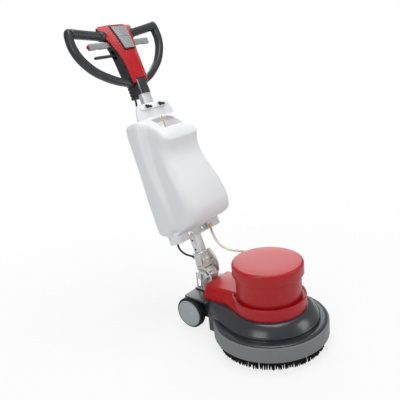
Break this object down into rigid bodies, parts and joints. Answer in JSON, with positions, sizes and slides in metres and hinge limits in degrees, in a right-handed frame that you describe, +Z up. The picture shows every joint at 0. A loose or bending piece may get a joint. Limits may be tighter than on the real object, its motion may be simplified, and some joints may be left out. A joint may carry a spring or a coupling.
{
  "type": "single-disc floor scrubber",
  "caption": "Walk-behind rotary floor scrubber with a round brush deck, upright motor, tilting stem carrying a solution tank, transport wheels and a grip bar with switch levers.",
  "frame": {"origin": "on the floor under the middle of the whole machine", "axes": "+Z up, -Y is the front with the brush deck, +Y is the operator's side, +X is across the machine to the right of someone facing -Y seen from behind"},
  "size_m": [0.4852, 0.9078, 1.2139],
  "materials": {
    "deck_housing": "dark grey textured paint on cast aluminium",
    "bumper_ring": "matt grey non-marking rubber",
    "rear_cover": "red moulded plastic",
    "motor_shroud": "red moulded plastic",
    "motor_cap": "red moulded plastic",
    "gearbox_cup": "cast",
    "ring_gear": "machined",
    "stator": "laminated steel with varnished windings",
    "motor_frame": "cast",
    "upper_bracket": "cast",
    "lower_bearing": "ground steel",
    "upper_bearing": "ground steel",
    "rotor_core": "laminated steel",
    "motor_shaft": "machined steel",
    "cooling_fan": "dark moulded plastic",
    "planet_carrier": "machined steel",
    "planet_gear_1": "machined steel",
    "planet_gear_2": "machined steel",
    "planet_gear_3": "machined steel",
    "clutch_plate": "zinc-plated steel",
    "brush_block": "black moulded plastic",
    "bristle_ring": "black nylon bristles",
    "axle": "zinc-plated steel",
    "tyre_left": "black rubber",
    "tyre_right": "black rubber",
    "hub_left": "grey moulded plastic",
    "hub_right": "grey moulded plastic",
    "yoke_base": "cast",
    "tilt_quadrant": "cast",
    "pivot_pin": "zinc-plated steel",
    "stem_fork": "cast",
    "stem_tube": "anodised",
    "lock_rod": "zinc-plated steel",
    "neck_sleeve": "dark grey moulded plastic",
    "lead_clamp": "black ribbed plastic",
    "tank_shell": "milky translucent plastic",
    "upper_plate": "white moulded plastic",
    "wing_screw_left": "black wings on a steel screw",
    "wing_screw_right": "black wings on a steel screw",
    "lower_plate": "zinc-plated steel",
    "drain_valve": "turned brass",
    "valve_rod": "drawn brass",
    "head_cover": "red moulded plastic",
    "head_housing": "dark grey moulded plastic",
    "control_panel": "grey moulded plastic",
    "grip_left": "dark grey moulded plastic",
    "grip_right": "dark grey moulded plastic",
    "loop_left": "dark grey moulded plastic",
    "loop_right": "dark grey moulded plastic",
    "switch_lever_left": "grey moulded plastic",
    "switch_lever_right": "grey moulded plastic",
    "tilt_lever": "dark grey moulded plastic",
    "lock_button": "red moulded plastic",
    "solution_hose": "cream translucent vinyl",
    "motor_lead": "black rubber sheath",
    "hose_spigot": "black moulded plastic",
    "lead_gland": "black moulded plastic",
    "start_capacitor": "grey moulded can",
    "mains_gland": "black moulded plastic"
  },
  "bodies": {
    "deck": {"deck_housing": "deck_housing", "bumper_ring": "bumper_ring", "rear_cover": "rear_cover", "motor_shroud": "motor_shroud", "motor_cap": "motor_cap", "gearbox_cup": "gearbox_cup", "ring_gear": "ring_gear", "stator": "stator", "motor_frame": "motor_frame", "upper_bracket": "upper_bracket", "lower_bearing": "lower_bearing", "upper_bearing": "upper_bearing", "axle": "axle", "yoke_base": "yoke_base", "tilt_quadrant": "tilt_quadrant", "pivot_pin": "pivot_pin", "hose_spigot": "hose_spigot", "start_capacitor": "start_capacitor", "solution_hose": "solution_hose"},
    "brush": {"planet_carrier": "planet_carrier", "clutch_plate": "clutch_plate", "brush_block": "brush_block", "bristle_ring": "bristle_ring"},
    "planet_1": {"planet_gear_1": "planet_gear_1"},
    "planet_2": {"planet_gear_2": "planet_gear_2"},
    "planet_3": {"planet_gear_3": "planet_gear_3"},
    "rotor": {"rotor_core": "rotor_core", "motor_shaft": "motor_shaft", "cooling_fan": "cooling_fan"},
    "wheel_left": {"tyre_left": "tyre_left", "hub_left": "hub_left"},
    "wheel_right": {"tyre_right": "tyre_right", "hub_right": "hub_right"},
    "handle": {"stem_fork": "stem_fork", "stem_tube": "stem_tube", "neck_sleeve": "neck_sleeve", "lead_clamp": "lead_clamp", "tank_shell": "tank_shell", "upper_plate": "upper_plate", "wing_screw_left": "wing_screw_left", "wing_screw_right": "wing_screw_right", "lower_plate": "lower_plate", "drain_valve": "drain_valve", "head_cover": "head_cover", "head_housing": "head_housing", "control_panel": "control_panel", "grip_left": "grip_left", "grip_right": "grip_right", "loop_left": "loop_left", "loop_right": "loop_right", "motor_lead": "motor_lead", "lead_gland": "lead_gland", "mains_gland": "mains_gland"},
    "lock": {"lock_rod": "lock_rod"},
    "valve": {"valve_rod": "valve_rod"},
    "switch_left": {"switch_lever_left": "switch_lever_left"},
    "switch_right": {"switch_lever_right": "switch_lever_right"},
    "tilt_release": {"tilt_lever": "tilt_lever"},
    "button": {"lock_button": "lock_button"}
  },
  "joints": [
    {"name": "handle_tilt", "type": "hinge", "parent": "deck", "child": "handle", "pos_m": [0, 0.057, 0.2086], "axis": [1, 0, 0], "range_deg": [-45, 18], "deforming": ["solution_hose"]},
    {"name": "brush_spin", "type": "hinge", "parent": "deck", "child": "brush", "pos_m": [0, -0.2339, 0], "axis": [0, 0, 1], "continuous": true},
    {"name": "rotor_spin", "type": "hinge", "parent": "deck", "child": "rotor", "pos_m": [0, -0.2339, 0.2], "axis": [0, 0, 1], "continuous": true},
    {"name": "planet_1_spin", "type": "hinge", "parent": "brush", "child": "planet_1", "pos_m": [0.0405, -0.2339, 0.118], "axis": [0, 0, 1], "continuous": true},
    {"name": "planet_2_spin", "type": "hinge", "parent": "brush", "child": "planet_2", "pos_m": [-0.02025, -0.19883, 0.118], "axis": [0, 0, 1], "continuous": true},
    {"name": "planet_3_spin", "type": "hinge", "parent": "brush", "child": "planet_3", "pos_m": [-0.02025, -0.26897, 0.118], "axis": [0, 0, 1], "continuous": true},
    {"name": "wheel_left_spin", "type": "hinge", "parent": "deck", "child": "wheel_left", "pos_m": [-0.11, 0.0738, 0.0854], "axis": [1, 0, 0], "continuous": true},
    {"name": "wheel_right_spin", "type": "hinge", "parent": "deck", "child": "wheel_right", "pos_m": [0.11, 0.0738, 0.0854], "axis": [1, 0, 0], "continuous": true},
    {"name": "tilt_lever_swing", "type": "hinge", "parent": "handle", "child": "tilt_release", "pos_m": [-0.036, 0.39755, 1.09726], "axis": [0, 0.9466, -0.3223], "range_deg": [0, 12], "stiffness_Nm_per_rad": 1.5, "springref_deg": -22.92},
    {"name": "lock_rod_slide", "type": "slide", "parent": "handle", "child": "lock", "axis": [0, 0.3223, 0.9466], "range_m": [0, 0.006]},
    {"name": "valve_rod_slide", "type": "slide", "parent": "handle", "child": "valve", "axis": [-0.0838, 0.2723, 0.9585], "range_m": [0, 0.018]},
    {"name": "switch_left_squeeze", "type": "hinge", "parent": "handle", "child": "switch_left", "pos_m": [-0.056, 0.41173, 1.13891], "axis": [0, 0.9466, -0.3223], "range_deg": [0, 10], "stiffness_Nm_per_rad": 1, "springref_deg": -17.19},
    {"name": "switch_right_squeeze", "type": "hinge", "parent": "handle", "child": "switch_right", "pos_m": [0.056, 0.41173, 1.13891], "axis": [0, -0.9466, 0.3223], "range_deg": [0, 10], "stiffness_Nm_per_rad": 1, "springref_deg": -17.19},
    {"name": "lock_button_push", "type": "slide", "parent": "switch_left", "child": "button", "axis": [1, 0, 0], "range_m": [0, 0.004], "stiffness_N_per_m": 200, "springref_m": -0.004}
  ],
  "couplings": [
    {"joint": "rotor_spin", "follows": "brush_spin", "ratio": 9},
    {"joint": "planet_1_spin", "follows": "brush_spin", "ratio": -2.2857},
    {"joint": "planet_2_spin", "follows": "brush_spin", "ratio": -2.2857},
    {"joint": "planet_3_spin", "follows": "brush_spin", "ratio": -2.2857},
    {"joint": "lock_rod_slide", "follows": "tilt_lever_swing", "m_per_rad": 0.0286}
  ]
}
